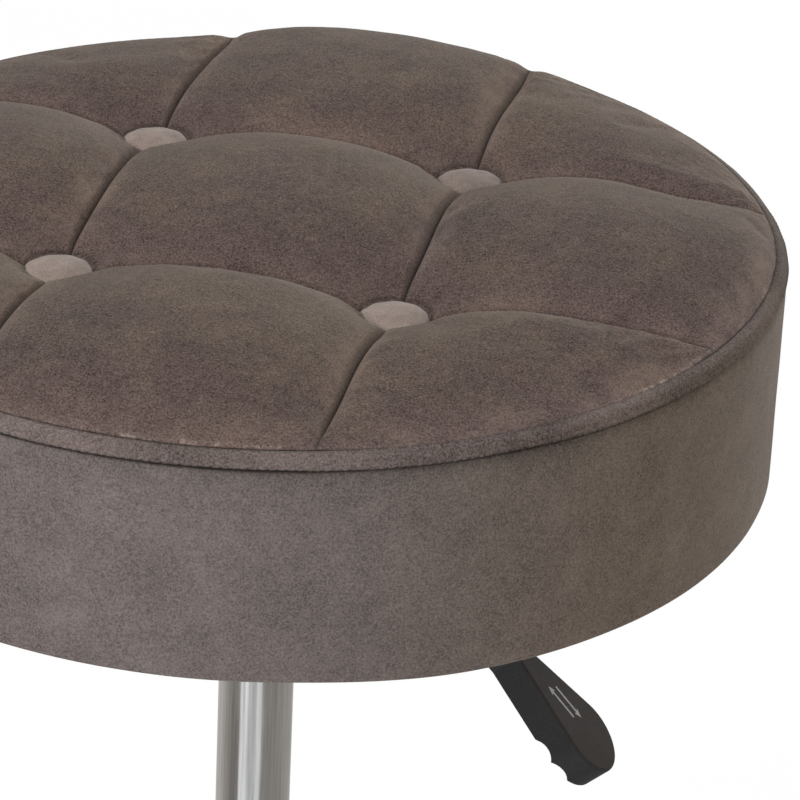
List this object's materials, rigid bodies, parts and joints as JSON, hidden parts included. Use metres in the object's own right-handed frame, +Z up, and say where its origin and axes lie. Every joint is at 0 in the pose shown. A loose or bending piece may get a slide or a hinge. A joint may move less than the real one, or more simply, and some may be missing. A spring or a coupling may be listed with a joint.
{
  "type": "vanity stool",
  "caption": "Round swivel stool with a button-tufted velvet cushion on a gas spring, released by a side lever, in a weighted round base.",
  "frame": {"origin": "on the floor under the column's axis, at the bottom centre of the object", "axes": "+Z up along the column, +X the way the release lever points, +Y square to it"},
  "size_m": [0.39, 0.39, 0.5541],
  "materials": {
    "foot_rubber": "matte",
    "cast_iron": "rough cast",
    "brushed_cover": "brushed in circles",
    "brushed_tube": "brushed along the tube",
    "black_paint": "satin powder coat",
    "zinc_steel": "zinc plated",
    "bearing_steel": "ground",
    "bush_plastic": "moulded",
    "seal_rubber": "matte",
    "brass": "turned",
    "plywood": "sanded",
    "foam": "open foam",
    "velvet": "taupe velvet with a soft pile",
    "button_velvet": "pale taupe cloth",
    "dust_cloth": "thin black non-woven cloth",
    "twine": "waxed twine",
    "handle_plastic": "fine moulded grain"
  },
  "bodies": {
    "base": {"floor_pads": "foot_rubber", "base_weight": "cast_iron", "base_cover": "brushed_cover", "base_hub": "black_paint", "hub_bolts": "zinc_steel", "column_skirt": "brushed_cover", "outer_tube": "brushed_tube", "tube_end_plate": "zinc_steel", "guide_bush": "bush_plastic", "lower_race": "bearing_steel", "thrust_cage": "bush_plastic", "thrust_balls": "bearing_steel"},
    "spring_rod": {"upper_race": "bearing_steel", "bump_stop": "foot_rubber", "piston_rod": "bearing_steel", "rod_clip": "zinc_steel", "piston": "zinc_steel", "piston_ring": "seal_rubber"},
    "seat": {"pressure_tube": "brushed_tube", "rod_guide": "bush_plastic", "rod_seal": "seal_rubber", "inner_cylinder": "zinc_steel", "valve_body": "brass", "seat_plate": "black_paint", "lever_bracket": "black_paint", "taper_socket": "black_paint", "plate_bolts": "zinc_steel", "plate_washers": "zinc_steel", "tee_nuts": "zinc_steel", "seat_board": "plywood", "foam_pad": "foam", "side_cover": "velvet", "border_band": "velvet", "top_cover": "velvet", "dust_cover": "dust_cloth", "cover_staples": "zinc_steel", "tuft_buttons": "button_velvet", "tuft_cords": "twine", "cord_anchors": "zinc_steel"},
    "lever": {"pivot_shaft": "zinc_steel", "pivot_clips": "zinc_steel", "valve_finger": "zinc_steel", "lever_arm": "zinc_steel", "lever_handle": "handle_plastic", "handle_screw": "zinc_steel"},
    "release_pin": {"valve_pin": "brass"}
  },
  "joints": [
    {"name": "seat_swivel", "type": "hinge", "parent": "base", "child": "spring_rod", "pos_m": [0, 0, 0.03], "axis": [0, 0, 1], "continuous": true},
    {"name": "seat_lift", "type": "slide", "parent": "spring_rod", "child": "seat", "axis": [0, 0, 1], "range_m": [-0.14, 0]},
    {"name": "lever_pull", "type": "hinge", "parent": "seat", "child": "lever", "pos_m": [0.03, 0, 0.4313], "axis": [0, -1, 0], "range_deg": [0, 6], "stiffness_Nm_per_rad": 1.5, "springref_deg": -2.86},
    {"name": "valve_press", "type": "slide", "parent": "seat", "child": "release_pin", "axis": [0, 0, -1], "range_m": [0, 0.0032]}
  ],
  "couplings": [
    {"joint": "valve_press", "follows": "lever_pull", "m_per_rad": 0.03}
  ]
}
